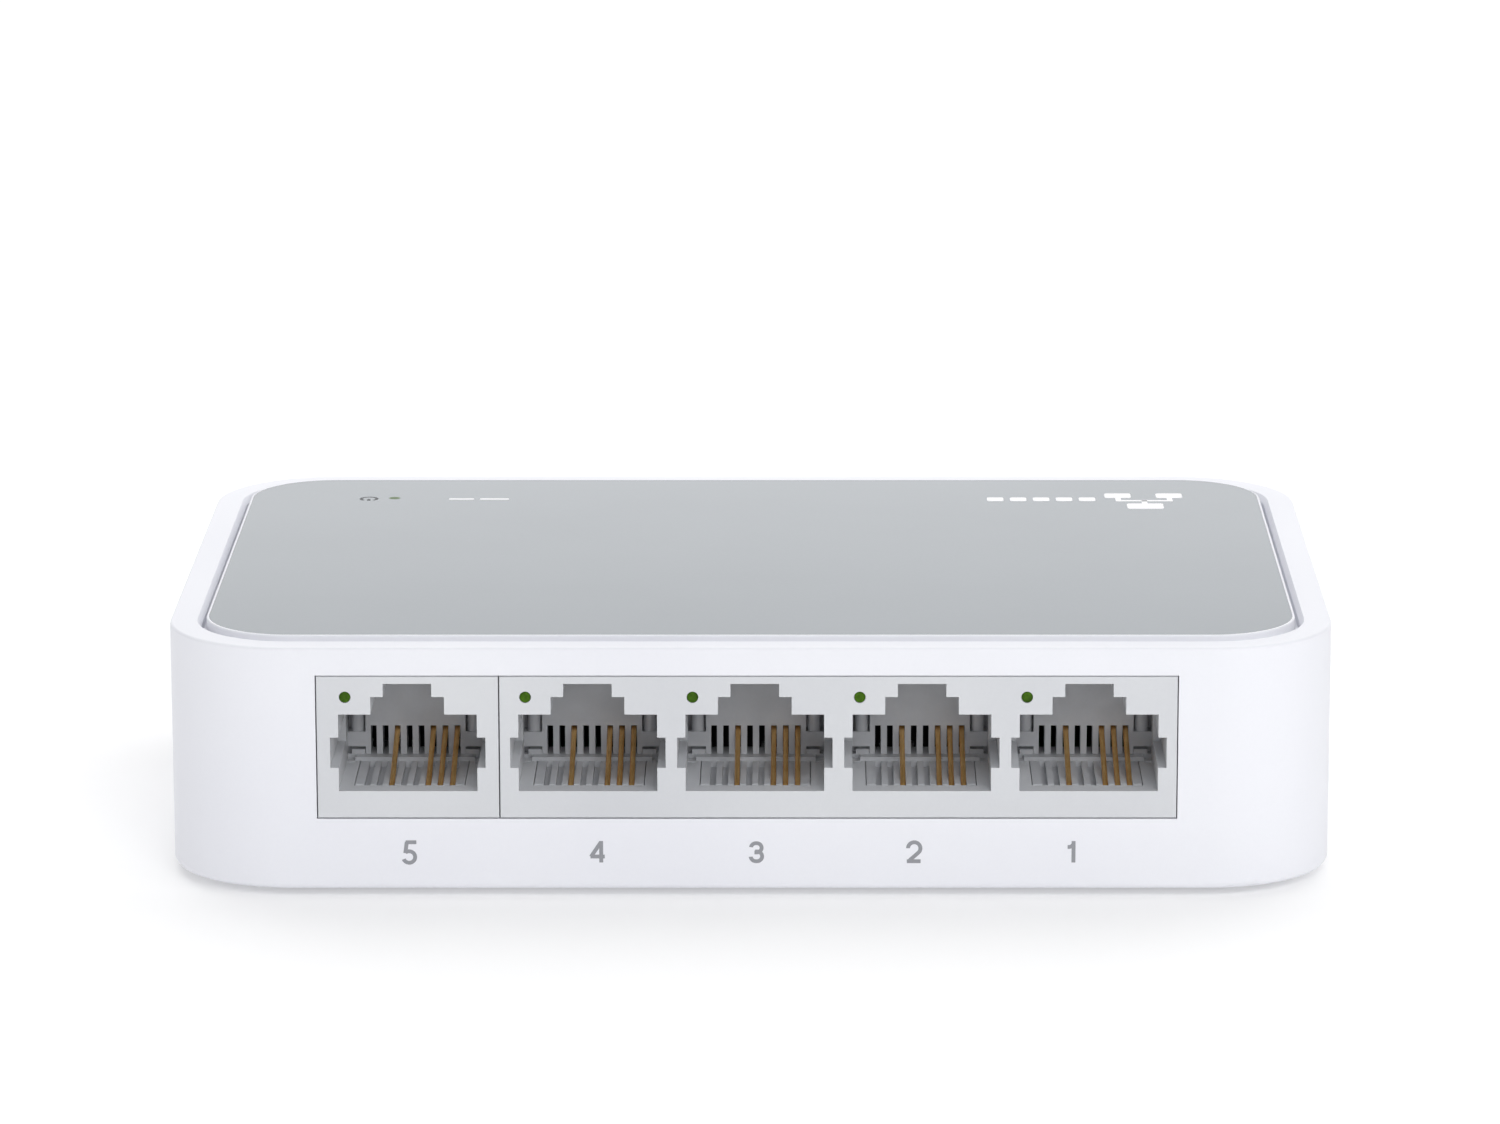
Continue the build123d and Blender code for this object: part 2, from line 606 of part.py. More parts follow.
with BuildPart() as inlet_housing:
    with BuildSketch(behind_inlet(0)):
        with Locations((-INLET_Y, BOARD_TOP + INLET_H / 2)):
            Rectangle(INLET_W, INLET_H)
    extrude(amount=-FLANGE_L)
    fillet(inlet_housing.faces().sort_by(Axis.X)[0].edges(), 0.15)
    with BuildSketch(behind_inlet(FLANGE_L)):
        with Locations((-INLET_Y, INLET_Z)):
            Circle(BARREL_OUTER_R)
        with Locations((-INLET_Y, (BOARD_TOP + INLET_Z) / 2)):
            Rectangle(2 * BARREL_OUTER_R, INLET_Z - BOARD_TOP)
    extrude(amount=-(INLET_L - FLANGE_L))
    with BuildSketch(behind_inlet(0)):
        with Locations((-INLET_Y, INLET_Z)):
            Circle(BARREL_R)
    extrude(amount=-BARREL_L, mode=Mode.SUBTRACT)
    chamfer(inlet_housing.faces().sort_by(Axis.X)[0].inner_wires()[0].edges(), 0.25)
    # channel for the sleeve spring, open to the barrel from below
    box_between((-WIDTH / 2 + FLANGE_L, -WIDTH / 2 + CHANNEL_END),
                (INLET_Y - CHANNEL_HALF, INLET_Y + CHANNEL_HALF),
                (CHANNEL_FLOOR, INLET_Z - BARREL_R + 0.6), Mode.SUBTRACT)
    # way down for the sleeve terminal
    box_between((SPRING_PIVOT[0] + 0.2, SPRING_PIVOT[0] + 0.7), (INLET_Y - 1.3, INLET_Y + 1.3),
                (BOARD_TOP - 0.1, CHANNEL_FLOOR + 0.1), Mode.SUBTRACT)
    # seat of the centre pin
    with BuildSketch(behind_inlet(BARREL_L)):
        with Locations((-INLET_Y, INLET_Z)):
            Rectangle(PIN_ROOT, PIN_ROOT)
    extrude(amount=-(INLET_L - BARREL_L), mode=Mode.SUBTRACT)
inlet_housing.part.label = "inlet_housing"
export_step(inlet_housing.part, "parts/inlet_housing.step")

with BuildPart() as inlet_pin:
    with BuildSketch(behind_inlet(PIN_TIP)):
        with Locations((-INLET_Y, INLET_Z)):
            Circle(PIN_R)
    extrude(amount=-(BARREL_L - PIN_TIP))
    fillet(inlet_pin.faces().sort_by(Axis.X)[0].edges(), PIN_ROUND)
    with BuildSketch(behind_inlet(BARREL_L)):
        with Locations((-INLET_Y, INLET_Z)):
            Rectangle(PIN_ROOT, PIN_ROOT)
    extrude(amount=-(INLET_L + 0.35 - BARREL_L))
    # solder tab behind the housing
    tab_x = -WIDTH / 2 + INLET_L + 0.05
    box_between((tab_x, tab_x + TAB_T), (INLET_Y - TAB_HALF, INLET_Y + TAB_HALF), (TAB_LOW, INLET_Z + 0.4))
inlet_pin.part.label = "inlet_pin"
export_step(inlet_pin.part, "parts/inlet_pin.step")

# sleeve spring: a thin leaf on a pivot at the back of its channel, humped where the plug's sleeve rubs
pivot_x, pivot_z = SPRING_PIVOT
leaf_line = [
    (pivot_x, pivot_z),
    (pivot_x - 5.2, INLET_Z - LEAF_IN - SPRING_T / 2),
    (pivot_x - 6.4, INLET_Z - LEAF_IN - SPRING_T / 2),
    (pivot_x - 7.8, pivot_z + 0.15),
]
with BuildPart() as inlet_spring:
    with BuildSketch(Plane.XZ.offset(-INLET_Y - SPRING_HALF)):
        with BuildLine():
            leaf = FilletPolyline(*leaf_line, radius=0.8)
            offset(leaf, amount=SPRING_T / 2)
        make_face()
    extrude(amount=2 * SPRING_HALF)
inlet_spring.part.label = "inlet_spring"
export_step(inlet_spring.part, "parts/inlet_spring.step")

with BuildPart() as inlet_sleeve_terminal:
    strip_x = pivot_x + 0.25
    box_between((strip_x, strip_x + TAB_T), (INLET_Y - TAB_HALF, INLET_Y + TAB_HALF),
                (TAB_LOW, pivot_z + 0.3))
inlet_sleeve_terminal.part.label = "inlet_sleeve_terminal"
export_step(inlet_sleeve_terminal.part, "parts/inlet_sleeve_terminal.step")

# ---------------------------------------------------------------- circuit board and screws
with BuildPart() as circuit_board:
    with BuildSketch(Plane.XY.offset(BOARD_BOTTOM)):
        board_y, board_l = span(BOARD_FRONT, BOARD_BACK)
        with Locations((0, board_y)):
            RectangleRounded(BOARD_X, board_l, BOARD_R)
        with Locations(*SCREW_SPOTS, *PIN_SPOTS):
            Circle(1.35, mode=Mode.SUBTRACT)
        with Locations(*peg_places(SINGLE_PORTS), *peg_places(QUAD_PORTS)):
            Circle(PEG_R + 0.06, mode=Mode.SUBTRACT)
        tails = [(x + slot_x(i), face_y(tail_depth(i))) for x in PORT_X.values() for i in FILLED_SLOTS]
        with Locations(*tails):
            Circle(WIRE_R + 0.12, mode=Mode.SUBTRACT)
        with Locations((-WIDTH / 2 + INLET_L + 0.25, INLET_Y), (pivot_x + 0.45, INLET_Y)):
            Rectangle(0.7, 2.8, mode=Mode.SUBTRACT)
    extrude(amount=BOARD_T)
circuit_board.part.label = "circuit_board"
export_step(circuit_board.part, "parts/circuit_board.step")

SCREW_HEAD_R = 2.3
SCREW_HEAD_H = 1.5
SCREW_R = 1.0
SCREW_L = 4.4
CROSS_L = 2.4
CROSS_W = 0.5
with BuildPart() as board_screws:
    with BuildSketch(Plane.XY.offset(BOARD_TOP)):
        with Locations(*SCREW_SPOTS):
            Circle(SCREW_HEAD_R)
    extrude(amount=SCREW_HEAD_H)
    fillet(board_screws.faces().filter_by(Axis.Z).sort_by(Axis.Z)[-2:].edges(), 0.6)
    with BuildSketch(Plane.XY.offset(BOARD_TOP)):
        with Locations(*SCREW_SPOTS):
            Circle(SCREW_R)
    extrude(amount=-SCREW_L)
    with BuildSketch(Plane.XY.offset(BOARD_TOP + SCREW_HEAD_H)):
        with Locations(*SCREW_SPOTS):
            Rectangle(CROSS_L, CROSS_W)
            Rectangle(CROSS_W, CROSS_L)
    extrude(amount=-0.8, mode=Mode.SUBTRACT)
board_screws.part.label = "board_screws"
export_step(board_screws.part, "parts/board_screws.step")


# ---------------------------------------------------------------- parts on the board
def gull_wing(reach, drop, width, foot=0.6, thick=0.18):
    """One bent lead: leaves a body at local x 0 and drops to the board, running along +X."""
    with BuildPart() as lead:
        with BuildSketch(Plane.XZ.offset(-width / 2)):
            with BuildLine():
                Polyline(
                    (0, drop),
                    (reach - foot, drop),
                    (reach - foot, thick),
                    (reach, thick),
                    (reach, 0),
                    (reach - foot - thick, 0),
                    (reach - foot - thick, drop - thick),
                    (0, drop - thick),
                    close=True,
                )
            make_face()
        extrude(amount=width)
    return lead.part


def leads_along(centre, half, count, pitch, turn, lead):
    """Copies of a lead in a row on one side of a package: turn 0 is the +X side."""
    copies = []
    for step in range(count):
        along = (step - (count - 1) / 2) * pitch
        copies.append(lead.moved(Location((*centre, BOARD_TOP), (0, 0, turn)) * Location((half, along, 0))))
    return copies


CHIP = (8.0, 10.0)
CHIP_HALF = 3.5
QUAD_TRANSFORMER = (QUAD_X, -9.5)
SINGLE_TRANSFORMER = (SINGLE_X, -9.5)
REGULATOR = (-12.0, 17.0)


def package(place, size_x, size_y, height, stand=0.1, soften=0.25):
    """Moulded package with softened top edges, standing a little off the board."""
    with BuildPart() as body:
        with BuildSketch(Plane.XY.offset(BOARD_TOP + stand)):
            with Locations(place):
                Rectangle(size_x, size_y)
        extrude(amount=height - stand)
        chamfer(body.faces().sort_by(Axis.Z)[-1].edges(), soften)
    return body.part


save(package(CHIP, 2 * CHIP_HALF, 2 * CHIP_HALF, 1.5), "switch_chip")
save(package(QUAD_TRANSFORMER, 28.0, 9.0, 5.6, soften=0.5), "quad_transformer")
save(package(SINGLE_TRANSFORMER, 12.6, 7.0, 5.2, soften=0.5), "single_transformer")
save(package(REGULATOR, 5.0, 4.0, 1.6), "voltage_regulator")

chip_lead = gull_wing(1.0, 0.8, 0.22, foot=0.5, thick=0.15)
chip_leads = []
for turn in (0, 90, 180, 270):
    chip_leads += leads_along(CHIP, CHIP_HALF, 12, 0.5, turn, chip_lead)
save(Compound(children=chip_leads), "switch_chip_leads")

coil_lead = gull_wing(1.5, 1.6, 0.5)
coil_leads = []
for turn in (90, 270):
    coil_leads += leads_along(QUAD_TRANSFORMER, 4.5, 10, 2.54, turn, coil_lead)
    coil_leads += leads_along(SINGLE_TRANSFORMER, 3.5, 8, 1.27, turn, coil_lead)
save(Compound(children=coil_leads), "transformer_leads")

regulator_lead = gull_wing(1.0, 0.9, 0.4, foot=0.5)
regulator_leads = []
for turn in (90, 270):
    regulator_leads += leads_along(REGULATOR, 2.0, 4, 1.27, turn, regulator_lead)
save(Compound(children=regulator_leads), "regulator_leads")

CRYSTAL = (22.0, 16.0)
CRYSTAL_W = 10.3
CRYSTAL_D = 4.0
CRYSTAL_H = 3.0
CRYSTAL_FLANGE = 0.45
CRYSTAL_FLANGE_H = 0.5
with BuildPart() as crystal:
    with BuildSketch(Plane.XY.offset(BOARD_TOP)):
        with Locations(CRYSTAL):
            RectangleRounded(CRYSTAL_W + 2 * CRYSTAL_FLANGE, CRYSTAL_D + 2 * CRYSTAL_FLANGE,
                             CRYSTAL_D / 2 + CRYSTAL_FLANGE - 0.05)
    extrude(amount=CRYSTAL_FLANGE_H)
    with BuildSketch(Plane.XY.offset(BOARD_TOP + CRYSTAL_FLANGE_H)):
        with Locations(CRYSTAL):
            RectangleRounded(CRYSTAL_W, CRYSTAL_D, CRYSTAL_D / 2 - 0.05)
    extrude(amount=CRYSTAL_H)
    fillet(crystal.faces().sort_by(Axis.Z)[-1].edges(), 0.4)
crystal.part.label = "crystal"
export_step(crystal.part, "parts/crystal.step")


def can_capacitor(place, radius, height):
    """Aluminium can with the rolled groove near its foot."""
    with BuildPart() as can:
        with BuildSketch(Plane.XZ):
            with BuildLine():
                Polyline((0, 0), (radius, 0), (radius, 1.1), (radius - 0.3, 1.5), (radius, 1.9),
                         (radius, height - 0.4), (radius - 0.4, height), (0, height), close=True)
            make_face()
        revolve(axis=Axis.Z)
    return can.part.moved(Location((*place, BOARD_TOP)))


save(can_capacitor((-24.0, 20.0), 3.15, 11.0), "input_capacitor")
save(can_capacitor((-15.5, 24.0), 2.5, 7.0), "output_capacitor")

INDUCTOR = (-22.0, 7.0)
INDUCTOR_W = 6.0
INDUCTOR_H = 2.8
INDUCTOR_GAP = (1.9, 2.4)
with BuildPart() as power_inductor:
    with BuildSketch(Plane.XY.offset(BOARD_TOP)):
        with Locations(INDUCTOR):
            RectangleRounded(INDUCTOR_W, INDUCTOR_W, INDUCTOR_W / 5)
    extrude(amount=INDUCTOR_H)
    # the ring-shaped gap between the drum and its shield
    with BuildSketch(Plane.XY.offset(BOARD_TOP + INDUCTOR_H)):
        with Locations(INDUCTOR):
            Circle(INDUCTOR_GAP[1])
            Circle(INDUCTOR_GAP[0], mode=Mode.SUBTRACT)
    extrude(amount=-0.4, mode=Mode.SUBTRACT)
power_inductor.part.label = "power_inductor"
export_step(power_inductor.part, "parts/power_inductor.step")

# surface-mount resistors and capacitors, in short rows by the parts that they serve
with BuildPart() as chip_resistors:
    with BuildSketch(Plane.XY.offset(BOARD_TOP)):
        with Locations((8.0, 1.5), (30.0, 6.0), (-2.0, 24.0)):
            with GridLocations(1.8, 0, 6, 1):
                Rectangle(0.8, 1.6)
    extrude(amount=0.45)
chip_resistors.part.label = "chip_resistors"
export_step(chip_resistors.part, "parts/chip_resistors.step")

with BuildPart() as chip_capacitors:
    with BuildSketch(Plane.XY.offset(BOARD_TOP)):
        with Locations((8.0, 17.5), (-12.0, 10.0), (30.0, 22.0)):
            with GridLocations(1.9, 0, 5, 1):
                Rectangle(0.9, 1.6)
    extrude(amount=0.8)
chip_capacitors.part.label = "chip_capacitors"
export_step(chip_capacitors.part, "parts/chip_capacitors.step")
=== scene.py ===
import json
import math

import bmesh
import bpy
from mathutils import Matrix, Vector


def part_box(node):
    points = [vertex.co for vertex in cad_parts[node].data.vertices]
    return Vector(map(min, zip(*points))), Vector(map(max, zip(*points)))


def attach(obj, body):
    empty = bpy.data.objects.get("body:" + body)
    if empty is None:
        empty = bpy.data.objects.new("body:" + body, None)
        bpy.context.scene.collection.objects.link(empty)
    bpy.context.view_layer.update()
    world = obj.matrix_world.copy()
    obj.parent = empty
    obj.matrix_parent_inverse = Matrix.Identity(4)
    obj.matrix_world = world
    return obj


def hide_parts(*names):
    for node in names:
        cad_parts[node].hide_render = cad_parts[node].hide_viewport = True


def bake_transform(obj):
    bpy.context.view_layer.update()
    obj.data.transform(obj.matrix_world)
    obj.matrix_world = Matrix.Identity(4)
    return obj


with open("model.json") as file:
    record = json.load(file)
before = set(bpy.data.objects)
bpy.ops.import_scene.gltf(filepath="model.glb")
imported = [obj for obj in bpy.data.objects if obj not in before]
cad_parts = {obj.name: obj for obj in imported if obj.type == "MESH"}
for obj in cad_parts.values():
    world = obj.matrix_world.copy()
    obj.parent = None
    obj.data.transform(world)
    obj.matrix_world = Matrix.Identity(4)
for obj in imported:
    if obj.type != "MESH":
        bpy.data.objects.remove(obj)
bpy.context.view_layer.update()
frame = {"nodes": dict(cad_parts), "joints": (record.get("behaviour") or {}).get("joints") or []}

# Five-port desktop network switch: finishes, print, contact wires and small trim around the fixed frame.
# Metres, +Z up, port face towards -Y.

MM = 0.001
X_AXIS, Y_AXIS, Z_AXIS = Vector((1, 0, 0)), Vector((0, 1, 0)), Vector((0, 0, 1))

FACE_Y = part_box("lower_housing")[0].y
FILM_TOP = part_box("top_overlay")[1].z
PORTS = (1, 2, 3, 4, 5)


# ------------------------------------------------------------ node helpers
def rgb(code):
    """An sRGB hex colour as the linear colour that a socket takes."""
    parts = [int(code[at:at + 2], 16) / 255 for at in (1, 3, 5)]
    linear = [part / 12.92 if part <= 0.04045 else ((part + 0.055) / 1.055) ** 2.4 for part in parts]
    return (*linear, 1.0)


def per_mm(size):
    """Texture scale that makes one feature of a pattern this many millimetres wide."""
    return 1 / (size * MM)


def add(tree, kind, settings=None, inputs=None):
    """Adds a node, sets its settings, and gives each input a value or the output that feeds it."""
    made = tree.nodes.new(kind)
    for key, value in (settings or {}).items():
        setattr(made, key, value)
    for key, value in (inputs or {}).items():
        if isinstance(value, bpy.types.NodeSocket):
            tree.links.new(value, made.inputs[key])
        else:
            made.inputs[key].default_value = value
    return made


def start(name):
    """A new empty material: its tree and its Object coordinates."""
    material = bpy.data.materials.new(name)
    material.use_nodes = True
    tree = material.node_tree
    tree.nodes.clear()
    return material, tree, add(tree, "ShaderNodeTexCoord").outputs["Object"]


def finish(material, tree, inputs):
    """Puts the surface shader on a material and returns it."""
    shader = add(tree, "ShaderNodeBsdfPrincipled", inputs=inputs)
    add(tree, "ShaderNodeOutputMaterial", inputs={"Surface": shader.outputs["BSDF"]})
    return material


# ------------------------------------------------------------ finishes
# noise seldom leaves this range, so it is spread over the whole of what it drives
NOISE_LOW, NOISE_HIGH = 0.3, 0.7
GRAIN_SHARE = 0.25
PLASTIC_GLOSS_SPREAD = 0.06
METAL_GLOSS_SPREAD = 0.07
METAL_GRAIN_DEPTH = 0.004 * MM
TARNISH_MM = 1.5


def moulded(name, light, dark, grain_mm, depth_mm, roughness, ior, drift_mm=18.0):
    """Moulded plastic: the fine grain of an eroded mould, and a slow drift of tone where the melt cooled."""
    material, tree, place = start(name)
    grain = add(tree, "ShaderNodeTexNoise", inputs={
        "Vector": place, "Scale": per_mm(grain_mm), "Detail": 3.0})
    drift = add(tree, "ShaderNodeTexNoise", inputs={
        "Vector": place, "Scale": per_mm(drift_mm), "Detail": 1.0})
    both = add(tree, "ShaderNodeMath", {"operation": "MULTIPLY_ADD"},
               {0: grain.outputs["Fac"], 1: GRAIN_SHARE, 2: drift.outputs["Fac"]})
    tone = add(tree, "ShaderNodeMapRange", inputs={
        "Value": both.outputs[0], "From Min": 0.4, "From Max": 0.85})
    colour = add(tree, "ShaderNodeMix", {"data_type": "RGBA"},
                 {0: tone.outputs[0], 6: rgb(dark), 7: rgb(light)})
    gloss = add(tree, "ShaderNodeMapRange", inputs={
        "Value": grain.outputs["Fac"], "From Min": NOISE_LOW, "From Max": NOISE_HIGH,
        "To Min": roughness - PLASTIC_GLOSS_SPREAD, "To Max": roughness + PLASTIC_GLOSS_SPREAD})
    relief = add(tree, "ShaderNodeBump", inputs={
        "Height": grain.outputs["Fac"], "Strength": 0.35, "Distance": depth_mm * MM})
    return finish(material, tree, {"Base Color": colour.outputs[2], "Roughness": gloss.outputs[0],
                                   "IOR": ior, "Normal": relief.outputs[0]})


def metal(name, light, dark, roughness, grain_mm, stretch=(1, 1, 1)):
    """Plated or drawn metal: patches of tarnish, and grain that stretch draws out into brush lines."""
    material, tree, place = start(name)
    drawn = add(tree, "ShaderNodeMapping", inputs={"Vector": place, "Scale": stretch})
    grain = add(tree, "ShaderNodeTexNoise", inputs={
        "Vector": drawn.outputs[0], "Scale": per_mm(grain_mm), "Detail": 4.0})
    patches = add(tree, "ShaderNodeTexNoise", inputs={
        "Vector": place, "Scale": per_mm(TARNISH_MM), "Detail": 2.0})
    colour = add(tree, "ShaderNodeMix", {"data_type": "RGBA"},
                 {0: patches.outputs["Fac"], 6: rgb(dark), 7: rgb(light)})
    gloss = add(tree, "ShaderNodeMapRange", inputs={
        "Value": grain.outputs["Fac"], "From Min": NOISE_LOW, "From Max": NOISE_HIGH,
        "To Min": roughness - METAL_GLOSS_SPREAD, "To Max": roughness + METAL_GLOSS_SPREAD})
    relief = add(tree, "ShaderNodeBump", inputs={
        "Height": grain.outputs["Fac"], "Strength": 0.3, "Distance": METAL_GRAIN_DEPTH})
    return finish(material, tree, {"Base Color": colour.outputs[2], "Metallic": 1.0,
                                   "Roughness": gloss.outputs[0], "Normal": relief.outputs[0]})


def printed_film():
    """Polycarbonate film printed silver on its underside: satin, a metallic sparkle under a clear skin."""
    material, tree, place = start("silver_printed_polycarbonate_film")
    # the ink's aluminium flakes are about 0.03 mm, drawn at 0.25 mm so that they show
    flakes = add(tree, "ShaderNodeTexVoronoi", {"feature": "F1"},
                 {"Vector": place, "Scale": per_mm(0.25), "Randomness": 1.0})
    cloud = add(tree, "ShaderNodeTexNoise", inputs={"Vector": place, "Scale": per_mm(22.0), "Detail": 2.0})
    tone = add(tree, "ShaderNodeMath", {"operation": "MULTIPLY_ADD"},
               {0: flakes.outputs["Distance"], 1: 0.22, 2: cloud.outputs["Fac"]})
    colour = add(tree, "ShaderNodeMix", {"data_type": "RGBA"},
                 {0: tone.outputs[0], 6: rgb("#838A8F"), 7: rgb("#8A9196")})
    velvet = add(tree, "ShaderNodeTexNoise", inputs={"Vector": place, "Scale": per_mm(0.2), "Detail": 2.0})
    relief = add(tree, "ShaderNodeBump", inputs={
        "Height": velvet.outputs["Fac"], "Strength": 0.12, "Distance": 0.004 * MM})
    return finish(material, tree, {
        "Base Color": colour.outputs[2], "Metallic": 0.15, "Roughness": 0.27, "IOR": 1.55,
        "Normal": relief.outputs[0]})


def screen_ink(name, light, dark):
    """Screen-printed ink: flat and matt, with the faint weave of the screen in its surface."""
    material, tree, place = start(name)
    weave = add(tree, "ShaderNodeTexNoise", inputs={"Vector": place, "Scale": per_mm(0.12), "Detail": 2.0})
    colour = add(tree, "ShaderNodeMix", {"data_type": "RGBA"},
                 {0: weave.outputs["Fac"], 6: rgb(dark), 7: rgb(light)})
    relief = add(tree, "ShaderNodeBump", inputs={
        "Height": weave.outputs["Fac"], "Strength": 0.15, "Distance": 0.004 * MM})
    return finish(material, tree, {"Base Color": colour.outputs[2], "Roughness": 0.55, "IOR": 1.5,
                                   "Normal": relief.outputs[0]})


def light_pipe():
    """Green-tinted acrylic, polished: dark at rest, with brighter green patches spread by noise, painted
    light for light gathered in the pipe.
    """
    material, tree, place = start("green_tinted_acrylic")
    # painted light: noise mixes the dark tint with brighter green patches that stand for light gathered in
    # the acrylic
    tint_and_painted_glow = add(tree, "ShaderNodeTexNoise", inputs={"Vector": place, "Scale": per_mm(0.35), "Detail": 2.0})
    colour = add(tree, "ShaderNodeMix", {"data_type": "RGBA"},
                 {0: tint_and_painted_glow.outputs["Fac"], 6: rgb("#142404"), 7: rgb("#4F7A12")})
    return finish(material, tree, {
        "Base Color": colour.outputs[2], "Roughness": 0.3, "IOR": 1.49, "Specular IOR Level": 0.12})


def circuit_laminate():
    """Glass-epoxy board under green solder mask: copper tracks show through as lighter raised lines."""
    material, tree, place = start("green_masked_glass_epoxy")
    tracks = add(tree, "ShaderNodeTexBrick", {"offset": 0.35, "offset_frequency": 3}, {
        "Vector": place, "Scale": per_mm(1.0), "Mortar Size": 0.11, "Mortar Smooth": 0.2,
        "Brick Width": 5.2, "Row Height": 0.62,
        "Color1": rgb("#1B5E38"), "Color2": rgb("#185634"), "Mortar": rgb("#2F7E50")})
    weave = add(tree, "ShaderNodeTexNoise", inputs={"Vector": place, "Scale": per_mm(0.5), "Detail": 2.0})
    relief = add(tree, "ShaderNodeBump", inputs={
        "Height": tracks.outputs["Fac"], "Strength": 0.5, "Distance": 0.035 * MM})
    gloss = add(tree, "ShaderNodeMapRange", inputs={
        "Value": weave.outputs["Fac"], "To Min": 0.25, "To Max": 0.4})
    return finish(material, tree, {
        "Base Color": tracks.outputs["Color"], "Roughness": gloss.outputs[0], "IOR": 1.55,
        "Normal": relief.outputs[0]})


def make_finishes():
    """One finish for each material slot of the frame."""
    # thin gold over drawn bronze wire: warm, soft highlights along the wire
    gold = metal("gold_plated_phosphor_bronze", "#FFD692", "#E3AD62", 0.42, 0.3)
    # plated leads: pale and dull, with cloudy patches
    tin = metal("matt_tin_plating", "#C9CBCD", "#9FA2A5", 0.42, 0.15)
    # plated screw heads: bluish and fairly bright
    zinc = metal("bright_zinc_plated_steel", "#C7CCD1", "#A3A8AE", 0.3, 0.2)
    # plated brass pin and leaf: warm grey and bright
    nickel = metal("nickel_plated_brass", "#C9C4B8", "#A8A295", 0.25, 0.1, (1, 1, 6))
    # deep-drawn can: fine lines along its length
    can = metal("drawn_nickel_silver_can", "#C4C5C3", "#A7A8A6", 0.28, 0.15, (1, 8, 8))
    # impact-pressed can: soft silver with upright draw lines
    aluminium = metal("pressed_aluminium_can", "#CBCDD0", "#AEB1B5", 0.3, 0.15, (1, 1, 8))
    return {
        # ABS off a fine spark-eroded mould: even satin white, faintly blue, with no sharp reflections
        "casing_white": moulded("satin_white_abs", "#EBECF1", "#E6E7ED", 0.28, 0.012, 0.46, 1.53, 30.0),
        "overlay_silver": printed_film(),
        # glass-filled polyester off a polished mould: pale grey with a slight sheen on flat faces
        "socket_grey": moulded(
            "pale_grey_glass_filled_polyester", "#D3D5D8", "#CCCED2", 0.3, 0.01, 0.4, 1.57),
        # the same polyester in a darker batch, matt where the slots were eroded
        "carrier_grey": moulded("mid_grey_polyester", "#C6C8CC", "#BABCC0", 0.3, 0.015, 0.42, 1.57, 3.0),
        "contact_gold": gold,
        "light_pipe_green": light_pipe(),
        # white epoxy body of a small lamp, slightly glossy
        "led_body": moulded("white_lamp_epoxy", "#E9E6DA", "#DDD9CB", 0.1, 0.005, 0.35, 1.54, 0.8),
        "board_green": circuit_laminate(),
        "screw_steel": zinc,
        # epoxy moulding compound: near black, dull, with silica grit
        "chip_black": moulded("black_epoxy_compound", "#2A2A2C", "#1E1E20", 0.15, 0.02, 0.6, 1.55, 4.0),
        "lead_tin": tin,
        "crystal_can": can,
        "capacitor_can": aluminium,
        # pressed ferrite powder: charcoal, matt and grainy
        "inductor_ferrite": moulded("sintered_ferrite", "#3B3B3E", "#2B2B2E", 0.2, 0.04, 0.7, 1.6, 2.0),
        # thick-film resistor: glossy black glaze between pale solder ends
        "resistor_black": moulded("black_resistor_glaze", "#26262A", "#18181B", 0.1, 0.01, 0.3, 1.5, 0.6),
        # fired barium titanate: warm tan, slightly waxy
        "ceramic_tan": moulded("tan_fired_ceramic", "#B39468", "#9C7F56", 0.1, 0.01, 0.4, 1.6, 0.6),
        # black polyester of the inlet: satin, with flow marks
        "inlet_black": moulded("satin_black_polyester", "#232426", "#191A1C", 0.25, 0.012, 0.42, 1.57, 5.0),
        "inlet_nickel": nickel,
        # soft rubber: mid grey, matt, a dusty bloom over it
        "foot_rubber": moulded("grey_silicone_rubber", "#A3A4A7", "#8F9094", 0.35, 0.03, 0.72, 1.42, 3.0),
        # coated polyester label: bright white, smooth
        "label_film": moulded("white_polyester_label", "#F3F3F1", "#EBEBE9", 0.4, 0.004, 0.35, 1.6, 15.0),
    }


# ------------------------------------------------------------ mesh helpers
def to_piece(name, bm, material, body="case", sharp=35):
    """Turns a finished bmesh into a piece with a finish, riding on a body when one is given and left
    unattached when none is.
    """
    bmesh.ops.remove_doubles(bm, verts=bm.verts, dist=0.0005 * MM)
    bmesh.ops.recalc_face_normals(bm, faces=bm.faces)
    mesh = bpy.data.meshes.new(name)
    bm.to_mesh(mesh)
    bm.free()
    mesh.shade_smooth()
    mesh.set_sharp_from_angle(angle=math.radians(sharp))
    mesh.materials.append(material)
    piece = bpy.data.objects.new(name, mesh)
    bpy.context.scene.collection.objects.link(piece)
    if body:
        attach(piece, body)
    return piece


def pull(bm, faces, along):
    """Extrudes faces along a vector and returns the faces at the end."""
    grown = bmesh.ops.extrude_face_region(bm, geom=faces)["geom"]
    verts = [item for item in grown if isinstance(item, bmesh.types.BMVert)]
    bmesh.ops.translate(bm, verts=verts, vec=along)
    return [item for item in grown if isinstance(item, bmesh.types.BMFace)]


def turn(bm, faces, centre, axis, degrees, steps):
    """Sweeps faces round an axis and returns the faces at the end."""
    edges = list({edge for face in faces for edge in face.edges})
    verts = list({vert for face in faces for vert in face.verts})
    swept = bmesh.ops.spin(bm, geom=verts + edges + faces, cent=centre, axis=axis,
                           angle=math.radians(degrees), steps=steps)["geom_last"]
    return [item for item in swept if isinstance(item, bmesh.types.BMFace)]


DOME_STEPS = 3
DOME_FLAT = 0.35


